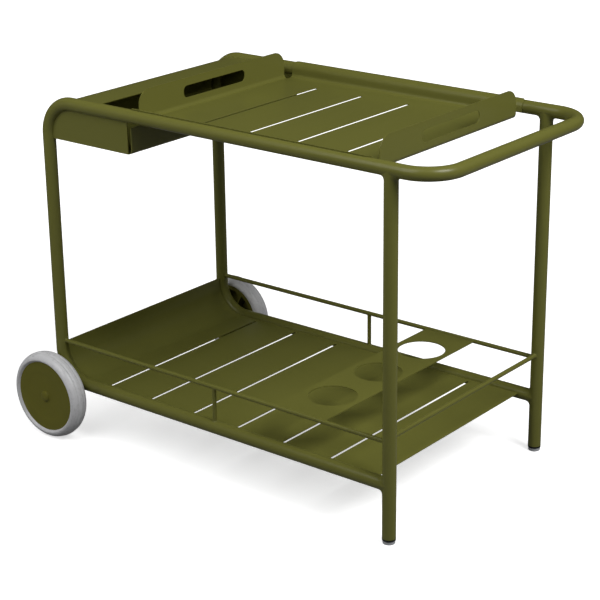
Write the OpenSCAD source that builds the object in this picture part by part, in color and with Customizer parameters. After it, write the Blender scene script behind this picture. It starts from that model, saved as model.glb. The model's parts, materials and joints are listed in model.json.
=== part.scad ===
// Bar cart on two wheels: bent tube frame, lower shelf with guard rods and bottle holder,
// lift-off tray between the top rails, and a storage bin in the upper bend at the wheel end.
// +X runs from the wheels towards the push handle, +Z is up, and the floor is at z = 0.

/* [Frame] */
// Outside diameter of the frame tube
tube_d = 25; // [20:1:30]
// Wall of the frame tube
tube_wall = 2; // [1:0.5:3]
// Distance between the left and right tube axes
frame_w = 480; // [420:5:600]
// Distance from the rear upright axis to the front leg axis
leg_span = 800; // [660:5:950]
// Height of the top rail axis
top_rail_z = 677.5; // [620:2.5:800]
// Height of the lower rail axis
low_rail_z = 111.5; // [108:0.5:130]
// Radius of every tube bend, at the tube axis
bend_r = 65; // [58:1:65]
// Distance from the front leg axis to the handle bar axis
handle_reach = 90.5; // [85:0.5:140]

/* [Wheels] */
// Diameter of a wheel over its tyre
wheel_d = 176; // [170:1:186]
// Width of the tyre
tyre_w = 40; // [38:1:46]
// Depth of the tyre that shows outside the hub disc
tyre_depth = 17; // [14:1:19]
// Gap between the frame tube and the tyre
wheel_gap = 7; // [6:0.5:12]
// Depth of the hub face below the side of the tyre
hub_recess = 4; // [3.5:0.5:5]
// Thickness of the hub disc and of its cap
hub_disc_t = 3; // [2.5:0.5:3]
// Depth of the dished middle of the hub disc
hub_dish = 1; // [0.5:0.25:1.5]
// Radius of the dished middle of the hub disc
hub_dish_r = 49; // [40:1:55]
// Half width of the slope round the dished middle
hub_dish_slope = 4; // [2:0.5:6]
// Number of ribs behind the hub disc
hub_ribs = 6; // [4:1:8]
// Diameter of the axle
axle_d = 12; // [10:1:12]
// Wall of the bushes
bush_wall = 2; // [1.5:0.5:2]
// Diameter of the centre cap
cap_d = 26; // [26:1:30]

/* [Shelf] */
// Sheet thickness of the shelf
shelf_t = 1.5; // [1:0.5:2]
// Height of the shelf underside above the lower rail axis
shelf_offset = 1.5; // [1:0.5:4]
// Distance from the front leg axis back to the shelf edge
shelf_setback = 34; // [20:1:60]
// Height of the shelf back edge above the end of the lower bend
shelf_lip = 10.5; // [5:0.5:11]
// Width of the shelf slots
shelf_slot_w = 6; // [4:0.5:10]
// Distance from a lower rail axis to the end of a shelf slot
shelf_slot_margin = 20; // [17:1:80]
// Distance from the rear upright axis to the first shelf slot
slot_start = 111.5; // [90:0.5:112]
// Distance from the front leg axis back to the last shelf slot
slot_end = 142.5; // [120:0.5:180]
// Number of slots in the shelf
slot_count = 6; // [4:1:6]

/* [Guard rods] */
// Diameter of the guard rods
rod_d = 8.5; // [7:0.5:10]
// Height of the side guard rods above the lower rail axis
guard_h = 80.5; // [80:0.5:120]
// Diameter of the guard posts
post_d = 8; // [5:0.5:8]

/* [Bottle holder] */
// Length of the bottle holder along the cart
holder_len = 114; // [105:1:140]
// Sheet thickness of the bottle holder
holder_t = 2; // [1.5:0.5:3]
// Distance from the front leg axis back to the middle of the bottle holder
holder_setback = 200; // [150:5:240]
// Diameter of a bottle hole
bottle_d = 92; // [80:1:98]
// Distance between two bottle holes
bottle_pitch = 140; // [115:1:150]

/* [Tray] */
// Sheet thickness of the tray
tray_t = 1.5; // [1:0.5:2]
// Distance from the rear upright axis to the tray
tray_start = 208.5; // [206:0.5:215]
// Distance from the front leg axis back to the tray
tray_setback = 46; // [31.5:0.5:56.5]
// Distance from the top rail axis down to the tray underside
tray_drop = 16.5; // [14:0.5:20]
// Height of the end panels above the top rail axis
panel_rise = 40; // [38:1:60]
// Distance from a top rail axis to the end of an end panel
panel_inset = 31.4; // [28:0.1:45]
// Radius of the upper corners of the end panels
panel_corner_r = 28; // [10:1:35]
// Turn of the tray lip past the top of the rail, in degrees
lip_angle = 5; // [1:1:30]
// Radius of the lip corners at the ends of the rail cover
lip_corner_r = 9; // [4:1:12]
// Outside radius of the folds at the tray floor
fold_r = 9.5; // [4:0.5:12]
// Distance from the rear panel to the start of the side walls
wall_relief = 9; // [5:0.5:20]
// Length of the side walls beyond the front panel
wall_overhang = 1; // [0:0.5:10]
// Length of side wall at the front that has no fold below it
fold_setback = 17; // [12:1:30]
// Length of a grip slot in the end panels
grip_len = 176; // [120:1:220]
// Height of a grip slot
grip_h = 23; // [21:1:28]
// Corner radius of a grip slot
grip_r = 10; // [4:0.5:10]
// Height of the middle of a grip slot above the top rail axis
grip_z = 13.6; // [12:0.1:18]
// Number of slots in the tray, evenly spaced along it
tray_slot_count = 4; // [2:1:6]
// Width of the tray slots
tray_slot_w = 7; // [4:0.5:12]
// Length of the tray slots
tray_slot_len = 355; // [200:5:380]

/* [Bin] */
// Sheet thickness of the bin
bin_t = 1.5; // [1:0.5:2]
// Distance from the frame tube axis out to the bin sheet
bin_offset = 3; // [2:0.5:5]
// Distance from the top rail axis down to the bin underside
bin_depth = 73; // [73:0.5:120]
// Distance from the rear upright axis to the front face of the bin
bin_len = 216.7; // [212:0.1:230]
// Outside radius of the folds at the bin floor
bin_fold_r = 8; // [3:0.5:8]
// Height of the front wall of the bin
bin_wall_h = 50.5; // [20:0.5:55]
// Distance from the rear upright axis to the end of the bin cover
bin_cover_len = 120; // [90:1:140]
// Thickness of the bin end plates
end_plate_t = 2; // [1:0.5:3]
// Distance from the rear upright axis to the front edge of the end plates
end_plate_len = 208.8; // [160:0.1:210]

/* [Feet] */
// Diameter of the foot pads
pad_d = 23; // [18:1:25]
// Thickness of the foot pads
pad_t = 7; // [4:0.5:10]
// Thickness of the plug flange under the leg
plug_t = 3.5; // [2:0.5:6]

/* [Hidden] */
$fn = 96;
// Overrun of every cut
cut = 1;
// Clearance of a welded or pressed seat
seat = 0.05;
// Radial clearance of the bushes on the axle
running = 0.05;
// End play of a wheel on each side
end_play = 0.3;
// Clearance between the tray lip and the rail
lip_clear = 0.8;
// Depth of the plug stem in the leg
stem_h = 18;
// Radius and height of the spigot that holds the foot pad
spigot_r = 4;
spigot_h = 2.5;
// Thickness of the wheel bracket plates
bracket_t = 5;
// Radius of the bracket round the axle
bracket_boss_r = 13;
// Width of the bracket arm at the axle
bracket_arm_w = 20;
// Angle that the bracket spans on the bend, to each side of the axle
bracket_spread = 25;
// Wall of the spacer sleeve on the axle
spacer_wall = 3;
// Wall of the hub boss round the bush
boss_wall = 7;
// Wall of the hub rim
rim_t = 4;
// Depth of the rim below the hub disc edge
rim_step = 5;
// Thickness of the rim flange at the frame side
flange_t = 2.5;
// Distance from the side of the tyre to the rim at the frame side
rim_inset = 4;
// Thickness of the hub ribs
rib_t = 3;
// Thickness and width of the bush flange
bush_flange_t = 2;
bush_flange_w = 3;
// Thickness of the washer and of the push-on clip
washer_t = 1.2;
clip_t = 1.5;
// Width of the washer and of the clip round the axle
washer_w = 3.5;
clip_w = 3;
// Length of a bush inside the hub
bush_sleeve = 10;
// Length of axle beyond the clip
axle_tip = 1;
// Top wall, side wall and seat depth of the centre cap
cap_wall = 1;
cap_seat = 2;

tube_r = tube_d / 2;
bore_r = tube_r - tube_wall;
rail_y = frame_w / 2;
wheel_r = wheel_d / 2;
cart_len = wheel_r + leg_span + handle_reach + tube_r;
rear_x = wheel_r - cart_len / 2;
leg_x = rear_x + leg_span;
handle_x = leg_x + handle_reach;
bend_x = rear_x + bend_r;
low_bend_z = low_rail_z + bend_r;
top_bend_z = top_rail_z - bend_r;
foot_z = pad_t + plug_t;

guard_z = low_rail_z + guard_h;
front_rod_z = guard_z + rod_d;
post_x = rear_x + leg_span / 2;
holder_x = leg_x - holder_setback;

// Half width between the tube flanks at a distance from the tube axis
function flank(away) = rail_y - sqrt(pow(tube_r, 2) - pow(away, 2)) - seat;

shelf_z = low_rail_z + shelf_offset;
shelf_front_x = leg_x - shelf_setback;
shelf_half_w = flank(shelf_offset);
slot_x0 = rear_x + slot_start;
slot_x1 = leg_x - slot_end;
slot_x = [for (i = [0 : slot_count - 1]) slot_x0 + i * (slot_x1 - slot_x0) / (slot_count - 1)];

lip_in_r = tube_r + lip_clear;
lip_out_r = lip_in_r + tray_t;
lip_edge_y = rail_y + lip_out_r * sin(lip_angle);
tray_wall_h = tray_drop - fold_r;
tray_half_w = rail_y - lip_in_r - fold_r;
panel_half_w = rail_y - panel_inset;
tray_z = top_rail_z - tray_drop;
tray_x0 = rear_x + tray_start;
tray_x1 = leg_x - tray_setback;
tray_len = tray_x1 - tray_x0;
panel_h = panel_rise + tray_drop;

bin_z = top_rail_z - bin_depth;
bin_x0 = rear_x - bin_offset - bin_t;
bin_x1 = rear_x + bin_len;
bin_wrap_half_w = flank(bin_offset);
bin_step_x = rear_x + tube_r + seat;

wheel_y = rail_y + tube_r + wheel_gap + tyre_w / 2;
axle_r = axle_d / 2;
bush_r = axle_r + running + bush_wall;
bush_flange_r = bush_r + bush_flange_w;
boss_r = bush_r + boss_wall;
hub_face = tyre_w / 2 - hub_recess;
hub_back = hub_face - hub_disc_t;
hub_inner = rim_inset - tyre_w / 2;
disc_r = wheel_r - tyre_depth;
rim_r = disc_r - rim_step;
crown_r = (pow(tyre_w / 2, 2) + pow(tyre_depth, 2)) / (2 * tyre_depth);
washer_z = hub_back + end_play;
clip_z = washer_z + washer_t;
axle_end = clip_z + clip_t + axle_tip;
cap_r = cap_d / 2;
cap_hole_r = bush_flange_r + seat;
spacer_end_y = wheel_y + hub_inner - bush_flange_t - end_play;
bracket_out_y = rail_y + bracket_t / 2;

olive = [0.36, 0.35, 0.18];
olive_dark = [0.30, 0.29, 0.14];
grey = [0.74, 0.75, 0.76];
black = [0.08, 0.08, 0.08];
steel = [0.62, 0.63, 0.65];

// Shared shapes

// Pieces are drawn on the left side of the cart, at negative Y
module on_side(side) {
    if (side == "right") mirror([0, 1, 0]) children();
    else children();
}

module pipe(length) {
    difference() {
        cylinder(r = tube_r, h = length);
        translate([0, 0, -cut]) cylinder(r = bore_r, h = length + 2 * cut);
    }
}

module pipe_along_x(length) {
    rotate([0, 90, 0]) pipe(length);
}

// Quarter bend from +X round to +Y, centred on the bend axis
module pipe_bend() {
    rotate_extrude(angle = 90) translate([bend_r, 0]) difference() {
        circle(r = tube_r);
        circle(r = bore_r);
    }
}

// Solid bar along X that stands for a tube or rod in a coped joint
module bar_along_x(x, y, z, length, radius) {
    translate([x - cut, y, z]) rotate([0, 90, 0]) cylinder(r = radius, h = length + 2 * cut);
}

// Space that an upright tube takes
module upright_space(x, height) {
    translate([x, -rail_y, 0]) cylinder(r = tube_r + seat, h = height);
}

// Part of a ring, from one angle on through a turn of less than a half circle
module ring_sector(inner, outer, from, turn) {
    far = 2 * outer;
    middle = from + turn / 2;
    intersection() {
        difference() {
            circle(r = outer);
            circle(r = inner);
        }
        polygon([
            [0, 0],
            [far * cos(from), far * sin(from)],
            [far * cos(middle), far * sin(middle)],
            [far * cos(from + turn), far * sin(from + turn)]
        ]);
    }
}

// Extrudes an outline in X and Z across the cart
module across(half_width) {
    rotate([90, 0, 0]) linear_extrude(2 * half_width, center = true) children();
}

module rounded_rectangle(width, height, radius) {
    square([width - 2 * radius, height], center = true);
    square([width, height - 2 * radius], center = true);
    for (x = [-1, 1], y = [-1, 1])
        translate([x * (width / 2 - radius), y * (height / 2 - radius)]) circle(r = radius);
}

// Long slot across the cart with round ends
module cross_slot(x, z, width, length, depth) {
    translate([x, 0, z - cut]) linear_extrude(depth + 2 * cut) {
        square([width, length - width], center = true);
        for (end = [-1, 1]) translate([0, end * (length - width) / 2]) circle(d = width);
    }
}

// Tube frame

module front_leg(side) {
    color(olive) on_side(side) difference() {
        translate([leg_x, -rail_y, foot_z]) pipe(top_rail_z - foot_z);
        bar_along_x(leg_x - tube_d, -rail_y, top_rail_z, 2 * tube_d, tube_r + seat);
    }
}

module rear_upright(side) {
    color(olive) on_side(side)
        translate([rear_x, -rail_y, low_bend_z]) pipe(top_bend_z - low_bend_z);
}

module lower_rail(side) {
    color(olive) on_side(side) difference() {
        translate([bend_x, -rail_y, low_rail_z]) pipe_along_x(leg_x - bend_x);
        upright_space(leg_x, top_rail_z);
    }
}

module lower_bend(side) {
    color(olive) on_side(side)
        translate([bend_x, -rail_y, low_bend_z]) rotate([90, 180, 0]) pipe_bend();
}

module upper_bend(side) {
    color(olive) on_side(side)
        translate([bend_x, -rail_y, top_bend_z]) rotate([90, -90, 0]) pipe_bend();
}

module top_rail(side) {
    color(olive) on_side(side)
        translate([bend_x, -rail_y, top_rail_z]) pipe_along_x(handle_x - bend_r - bend_x);
}

module handle_corner(side) {
    color(olive) on_side(side)
        translate([handle_x - bend_r, bend_r - rail_y, top_rail_z]) rotate([0, 0, -90]) pipe_bend();
}

module handle_bar() {
    half = rail_y - bend_r;
    color(olive) translate([handle_x, half, top_rail_z]) rotate([90, 0, 0]) pipe(2 * half);
}

// Guard rods and bottle holder

module guard_rod_space(radius) {
    bar_along_x(rear_x, -rail_y, guard_z, leg_span, radius);
}

module guard_rod(side) {
    color(olive) on_side(side) difference() {
        guard_rod_space(rod_d / 2);
        upright_space(rear_x, top_rail_z);
        upright_space(leg_x, top_rail_z);
    }
}

module guard_rod_front() {
    color(olive) difference() {
        translate([leg_x, rail_y, front_rod_z]) rotate([90, 0, 0])
            cylinder(r = rod_d / 2, h = frame_w);
        upright_space(leg_x, top_rail_z);
        mirror([0, 1, 0]) upright_space(leg_x, top_rail_z);
    }
}

module guard_post(side) {
    color(olive) on_side(side) difference() {
        translate([post_x, -rail_y, low_rail_z]) cylinder(d = post_d, h = guard_h);
        guard_rod_space(rod_d / 2 + seat);
        bar_along_x(post_x - tube_d, -rail_y, low_rail_z, 2 * tube_d, tube_r + seat);
    }
}

module bottle_holder() {
    color(olive) difference() {
        translate([holder_x - holder_len / 2, -rail_y, guard_z - holder_t / 2])
            cube([holder_len, frame_w, holder_t]);
        for (side = ["left", "right"]) on_side(side) guard_rod_space(rod_d / 2 + seat);
        for (i = [-1 : 1])
            translate([holder_x, i * bottle_pitch, guard_z - holder_t])
                cylinder(d = bottle_d, h = 2 * holder_t);
    }
}

// Lower shelf

module shelf() {
    inner = bend_r - shelf_offset - shelf_t;
    color(olive) difference() {
        across(shelf_half_w) {
            translate([bend_x, shelf_z]) square([shelf_front_x - bend_x, shelf_t]);
            translate([bend_x, low_bend_z]) ring_sector(inner, inner + shelf_t, 180, 90);
            translate([rear_x + shelf_offset, low_bend_z]) square([shelf_t, shelf_lip]);
        }
        for (x = slot_x)
            cross_slot(x, shelf_z, shelf_slot_w, frame_w - 2 * shelf_slot_margin, shelf_t);
    }
}

// Storage bin in the upper bend

module bin_fold(x, from) {
    translate([x, bin_z + bin_fold_r]) ring_sector(bin_fold_r - bin_t, bin_fold_r, from, 90);
}

module bin_shell() {
    inner = bend_r + bin_offset;
    color(olive_dark) {
        across(bin_wrap_half_w) {
            translate([bend_x, top_bend_z]) ring_sector(inner, inner + bin_t, 90, 90);
            translate([bend_x, top_rail_z + bin_offset])
                square([rear_x + bin_cover_len - bend_x, bin_t]);
            translate([bin_x0, bin_z + bin_fold_r])
                square([bin_t, top_bend_z - bin_z - bin_fold_r + seat]);
            bin_fold(bin_x0 + bin_fold_r, 180);
            translate([bin_x0 + bin_fold_r, bin_z])
                square([bin_step_x - bin_x0 - bin_fold_r + seat, bin_t]);
        }
        across(rail_y) {
            translate([bin_step_x, bin_z]) square([bin_x1 - bin_fold_r - bin_step_x, bin_t]);
            bin_fold(bin_x1 - bin_fold_r, 270);
            translate([bin_x1 - bin_t, bin_z + bin_fold_r])
                square([bin_t, bin_wall_h - bin_fold_r]);
        }
    }
}

module bin_end_plate(side) {
    front = rear_x + end_plate_len;
    top = top_rail_z - tube_r - seat;
    color(olive) on_side(side) translate([0, -rail_y - end_plate_t / 2, 0]) across(end_plate_t / 2) {
        translate([bin_step_x, bin_z]) square([front - bin_step_x, top_bend_z - bin_z]);
        translate([bend_x, bin_z]) square([front - bend_x, top - bin_z]);
        intersection() {
            translate([bend_x, top_bend_z]) circle(r = bend_r - tube_r - seat);
            translate([bin_step_x, bin_z]) square([bend_r, top - bin_z]);
        }
    }
}

// Lift-off tray

// Side wall and lip, drawn from the rail axis with X inwards and Y up
module tray_wall_outline() {
    ring_sector(lip_in_r, lip_out_r, 0, 90 + lip_angle);
    translate([lip_in_r, -tray_wall_h]) square([tray_t, tray_wall_h]);
    translate([lip_in_r + fold_r, -tray_wall_h]) ring_sector(fold_r - tray_t, fold_r, 180, 90);
    translate([lip_in_r + fold_r, -tray_drop]) square(tray_t);
}

// What is cut off a lip corner that points to -X and -Y, with the corner at the origin
module lip_corner() {
    linear_extrude(lip_out_r + cut) difference() {
        translate([-cut, -cut]) square(lip_corner_r + cut);
        translate([lip_corner_r, lip_corner_r]) circle(r = lip_corner_r);
    }
}

module tray_side_wall() {
    x0 = tray_x0 + wall_relief;
    x1 = tray_x1 + wall_overhang;
    difference() {
        translate([x0, -rail_y, top_rail_z]) rotate([90, 0, 90])
            linear_extrude(x1 - x0) tray_wall_outline();
        translate([x0, -lip_edge_y, top_rail_z]) lip_corner();
        translate([x1, -lip_edge_y, top_rail_z]) mirror([1, 0, 0]) lip_corner();
        translate([x1 - fold_setback, -rail_y, tray_z - cut])
            cube([fold_setback + cut, lip_in_r + fold_r + tray_t + cut, fold_r + cut]);
    }
}

module tray_pan() {
    color(olive) {
        difference() {
            translate([tray_x0 + fold_r, -tray_half_w, tray_z])
                cube([tray_len - 2 * fold_r, 2 * tray_half_w, tray_t]);
            for (i = [1 : tray_slot_count])
                translate([tray_x0 + i * tray_len / (tray_slot_count + 1), 0, 0])
                    cross_slot(0, tray_z, tray_slot_w, tray_slot_len, tray_t);
        }
        for (side = ["left", "right"]) on_side(side) tray_side_wall();
    }
}

// End panel with its fold, drawn with the outer face at x = 0 and the tray on +X
module tray_panel() {
    corner_y = panel_half_w - panel_corner_r;
    rotate([90, 0, 90]) linear_extrude(tray_t) difference() {
        union() {
            translate([-panel_half_w, fold_r])
                square([2 * panel_half_w, panel_h - panel_corner_r - fold_r]);
            translate([-corner_y, fold_r]) square([2 * corner_y, panel_h - fold_r]);
            for (y = [-corner_y, corner_y])
                translate([y, panel_h - panel_corner_r]) intersection() {
                    circle(r = panel_corner_r);
                    translate([-panel_corner_r, fold_r + panel_corner_r - panel_h])
                        square([2 * panel_corner_r, panel_h - fold_r]);
                }
        }
        translate([0, tray_drop + grip_z]) rounded_rectangle(grip_len, grip_h, grip_r);
    }
    across(panel_half_w) translate([fold_r, fold_r])
        ring_sector(fold_r - tray_t, fold_r, 180, 90);
}

module tray_rear_panel() {
    color(olive) translate([tray_x0, 0, tray_z]) tray_panel();
}

module tray_front_panel() {
    color(olive) translate([tray_x1, 0, tray_z]) mirror([1, 0, 0]) tray_panel();
}

// Feet

module foot_plug(side) {
    color(black) on_side(side) translate([leg_x, -rail_y, pad_t]) difference() {
        union() {
            cylinder(r = tube_r, h = plug_t);
            cylinder(r = bore_r - seat, h = plug_t + stem_h);
        }
        translate([0, 0, -cut]) cylinder(r = spigot_r + seat, h = spigot_h + seat + cut);
    }
}

module foot_pad(side) {
    color(grey) on_side(side) translate([leg_x, -rail_y, 0]) {
        cylinder(d = pad_d, h = pad_t);
        cylinder(r = spigot_r, h = pad_t + spigot_h);
    }
}

// Axle and what holds the wheels on it

module on_axle() {
    translate([rear_x, 0, wheel_r]) rotate([90, 0, 0]) children();
}

// Flat plate from the axle to the outside of the lower bend
module wheel_bracket(side) {
    arm_x = rear_x - bend_x;
    arm_z = wheel_r - low_bend_z;
    arm = sqrt(pow(arm_x, 2) + pow(arm_z, 2));
    aim = atan2(arm_z, arm_x);
    color(olive) on_side(side) translate([bend_x, -rail_y, low_bend_z])
        rotate([90, 0, 0]) rotate(aim) difference() {
            union() {
                linear_extrude(bracket_t, center = true) polygon([
                    [bend_r * cos(bracket_spread), bend_r * sin(bracket_spread)],
                    [arm - axle_r, bracket_arm_w / 2],
                    [arm - axle_r, -bracket_arm_w / 2],
                    [bend_r * cos(bracket_spread), -bend_r * sin(bracket_spread)]
                ]);
                translate([arm, 0, 0]) cylinder(r = bracket_boss_r, h = bracket_t, center = true);
            }
            cylinder(r = bend_r + tube_r + seat, h = 2 * bracket_t, center = true);
            translate([arm, 0, 0]) cylinder(r = axle_r + seat, h = 2 * bracket_t, center = true);
        }
}

module axle() {
    half = wheel_y + axle_end;
    color(steel) on_axle() translate([0, 0, -half]) cylinder(r = axle_r, h = 2 * half);
}

// Ring on the axle between two distances from the middle plane of the cart
module axle_ring(from, to, wall) {
    on_axle() translate([0, 0, from]) difference() {
        cylinder(r = axle_r + seat + wall, h = to - from);
        translate([0, 0, -cut]) cylinder(r = axle_r + seat, h = to - from + 2 * cut);
    }
}

module wheel_spacer(side) {
    color(steel) on_side(side) axle_ring(bracket_out_y, spacer_end_y, spacer_wall);
}

module axle_washer(side) {
    color(steel) on_side(side)
        axle_ring(wheel_y + washer_z, wheel_y + washer_z + washer_t, washer_w);
}

module axle_clip(side) {
    color(steel) on_side(side) axle_ring(wheel_y + clip_z, wheel_y + clip_z + clip_t, clip_w);
}

// Wheels, drawn with the middle plane at z = 0 and +Z pointing away from the cart

module at_wheel(side) {
    on_side(side) on_axle() translate([0, 0, wheel_y]) children();
}

// Ring with a square section, between two radii and two heights
module collar(inner, outer, low, high) {
    translate([0, 0, low]) difference() {
        cylinder(r = outer, h = high - low);
        translate([0, 0, -cut]) cylinder(r = inner, h = high - low + 2 * cut);
    }
}

module wheel_hub(side) {
    color(olive) at_wheel(side) difference() {
        union() {
            translate([0, 0, hub_back]) cylinder(r = disc_r, h = hub_disc_t);
            collar(bush_r, boss_r, hub_inner, hub_back);
            collar(rim_r - rim_t, rim_r, hub_inner, hub_back);
            collar(rim_r - rim_t, disc_r, hub_inner, hub_inner + flange_t);
            for (i = [0 : hub_ribs - 1]) rotate([0, 0, i * 360 / hub_ribs])
                translate([boss_r - rib_t / 2, -rib_t / 2, hub_inner + flange_t])
                    cube([rim_r - boss_r - rim_t + rib_t, rib_t, hub_back - hub_inner - flange_t]);
        }
        translate([0, 0, hub_face - hub_dish])
            cylinder(r1 = hub_dish_r - hub_dish_slope, r2 = hub_dish_r + hub_dish_slope, h = hub_dish);
        translate([0, 0, hub_face]) cylinder(r = hub_dish_r + hub_dish_slope, h = cut);
        translate([0, 0, hub_back - bush_flange_t]) cylinder(r = cap_hole_r, h = tyre_w);
        translate([0, 0, hub_inner - cut]) cylinder(r = bush_r, h = tyre_w);
    }
}

module tyre(side) {
    low = hub_inner + flange_t + seat;
    color(grey) at_wheel(side) rotate_extrude() {
        intersection() {
            translate([wheel_r - crown_r, 0]) circle(r = crown_r);
            translate([disc_r + seat, -tyre_w / 2]) square([tyre_depth, tyre_w]);
        }
        translate([rim_r + seat, low]) square([rim_step + tyre_depth / 4, hub_back - seat - low]);
    }
}

// Flanged bush, with the flange below z = 0 and the sleeve above it
module bush(sleeve) {
    color(black) difference() {
        union() {
            translate([0, 0, -bush_flange_t]) cylinder(r = bush_flange_r, h = bush_flange_t);
            translate([0, 0, -bush_flange_t]) cylinder(r = bush_r, h = bush_flange_t + sleeve);
        }
        translate([0, 0, -bush_flange_t - cut])
            cylinder(r = axle_r + running, h = bush_flange_t + sleeve + 2 * cut);
    }
}

module inner_bush(side) {
    at_wheel(side) translate([0, 0, hub_inner]) bush(bush_sleeve);
}

module outer_bush(side) {
    at_wheel(side) translate([0, 0, hub_back - bush_flange_t]) mirror([0, 0, 1]) bush(bush_sleeve);
}

module wheel_cap(side) {
    floor_z = hub_face - hub_dish;
    top_z = hub_face + hub_disc_t;
    color(olive_dark) at_wheel(side) difference() {
        union() {
            translate([0, 0, floor_z]) cylinder(r = cap_r, h = top_z - floor_z);
            translate([0, 0, floor_z - cap_seat + seat]) cylinder(r = cap_hole_r - seat, h = cap_seat);
        }
        translate([0, 0, floor_z - cap_seat - cut])
            cylinder(r = cap_hole_r - seat - cap_wall, h = top_z - cap_wall - floor_z + cap_seat + cut);
    }
}

front_leg("left");  // front_leg_left
front_leg("right");  // front_leg_right
rear_upright("left");  // rear_upright_left
rear_upright("right");  // rear_upright_right
lower_rail("left");  // lower_rail_left
lower_rail("right");  // lower_rail_right
lower_bend("left");  // lower_bend_left
lower_bend("right");  // lower_bend_right
upper_bend("left");  // upper_bend_left
upper_bend("right");  // upper_bend_right
top_rail("left");  // top_rail_left
top_rail("right");  // top_rail_right
handle_corner("left");  // handle_corner_left
handle_corner("right");  // handle_corner_right
handle_bar();
guard_rod("left");  // guard_rod_left
guard_rod("right");  // guard_rod_right
guard_rod_front();
guard_post("left");  // guard_post_left
guard_post("right");  // guard_post_right
bottle_holder();
shelf();
bin_shell();
bin_end_plate("left");  // bin_end_plate_left
bin_end_plate("right");  // bin_end_plate_right
tray_pan();
tray_rear_panel();
tray_front_panel();
foot_plug("left");  // foot_plug_left
foot_plug("right");  // foot_plug_right
foot_pad("left");  // foot_pad_left
foot_pad("right");  // foot_pad_right
wheel_bracket("left");  // wheel_bracket_left
wheel_bracket("right");  // wheel_bracket_right
axle();
wheel_spacer("left");  // wheel_spacer_left
wheel_spacer("right");  // wheel_spacer_right
axle_washer("left");  // axle_washer_left
axle_washer("right");  // axle_washer_right
axle_clip("left");  // axle_clip_left
axle_clip("right");  // axle_clip_right
wheel_hub("left");  // wheel_hub_left
wheel_hub("right");  // wheel_hub_right
tyre("left");  // tyre_left
tyre("right");  // tyre_right
inner_bush("left");  // inner_bush_left
inner_bush("right");  // inner_bush_right
outer_bush("left");  // outer_bush_left
outer_bush("right");  // outer_bush_right
wheel_cap("left");  // wheel_cap_left
wheel_cap("right");  // wheel_cap_right
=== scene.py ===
import json
import logging
import math
from dataclasses import dataclass
from enum import Enum
from typing import Any, Sequence

import bmesh
import bpy
import numpy as np
from mathutils import Matrix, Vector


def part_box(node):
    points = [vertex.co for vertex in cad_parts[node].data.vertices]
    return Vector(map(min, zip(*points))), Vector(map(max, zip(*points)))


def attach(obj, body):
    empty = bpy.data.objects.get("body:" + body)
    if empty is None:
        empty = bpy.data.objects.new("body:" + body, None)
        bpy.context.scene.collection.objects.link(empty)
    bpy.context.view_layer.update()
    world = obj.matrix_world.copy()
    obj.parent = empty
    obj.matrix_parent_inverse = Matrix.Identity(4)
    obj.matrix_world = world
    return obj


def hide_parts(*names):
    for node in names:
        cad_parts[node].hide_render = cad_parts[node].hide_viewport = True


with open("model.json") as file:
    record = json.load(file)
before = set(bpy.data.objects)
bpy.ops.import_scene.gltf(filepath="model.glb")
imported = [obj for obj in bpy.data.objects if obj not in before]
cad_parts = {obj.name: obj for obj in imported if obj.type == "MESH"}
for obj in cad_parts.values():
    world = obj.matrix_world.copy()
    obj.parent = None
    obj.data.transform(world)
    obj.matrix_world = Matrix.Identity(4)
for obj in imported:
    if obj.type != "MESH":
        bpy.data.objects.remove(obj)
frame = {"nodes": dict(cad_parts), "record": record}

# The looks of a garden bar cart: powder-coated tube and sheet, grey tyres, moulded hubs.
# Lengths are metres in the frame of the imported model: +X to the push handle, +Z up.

log = logging.getLogger("bar_cart")
MM = 0.001
Colour = tuple[float, float, float]
Direction = tuple[float, float, float]

FORWARDS: Direction = (1.0, 0.0, 0.0)
BACKWARDS: Direction = (-1.0, 0.0, 0.0)
UP: Direction = (0.0, 0.0, 1.0)
DOWN: Direction = (0.0, 0.0, -1.0)
WHITE = (1.0, 1.0, 1.0, 1.0)
NOISE_MEAN = 0.5
# Points of a new piece, or of a node, that are closer than this are one point.
PIECE_MERGE = 0.001 * MM
NODE_MERGE = 0.002 * MM


class Body(Enum):
    """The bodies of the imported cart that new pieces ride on."""

    FRAME = "frame"
    WHEEL_LEFT = "wheel_left"
    WHEEL_RIGHT = "wheel_right"


class Side(Enum):
    """A side of the cart, with the sign of its Y."""

    LEFT = -1
    RIGHT = 1

    @property
    def label(self) -> str:
        """The side's name as the nodes spell it."""
        return self.name.lower()

    @property
    def wheel(self) -> Body:
        """The body of the wheel on this side."""
        return Body[f"WHEEL_{self.name}"]


# Shader graphs


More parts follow.
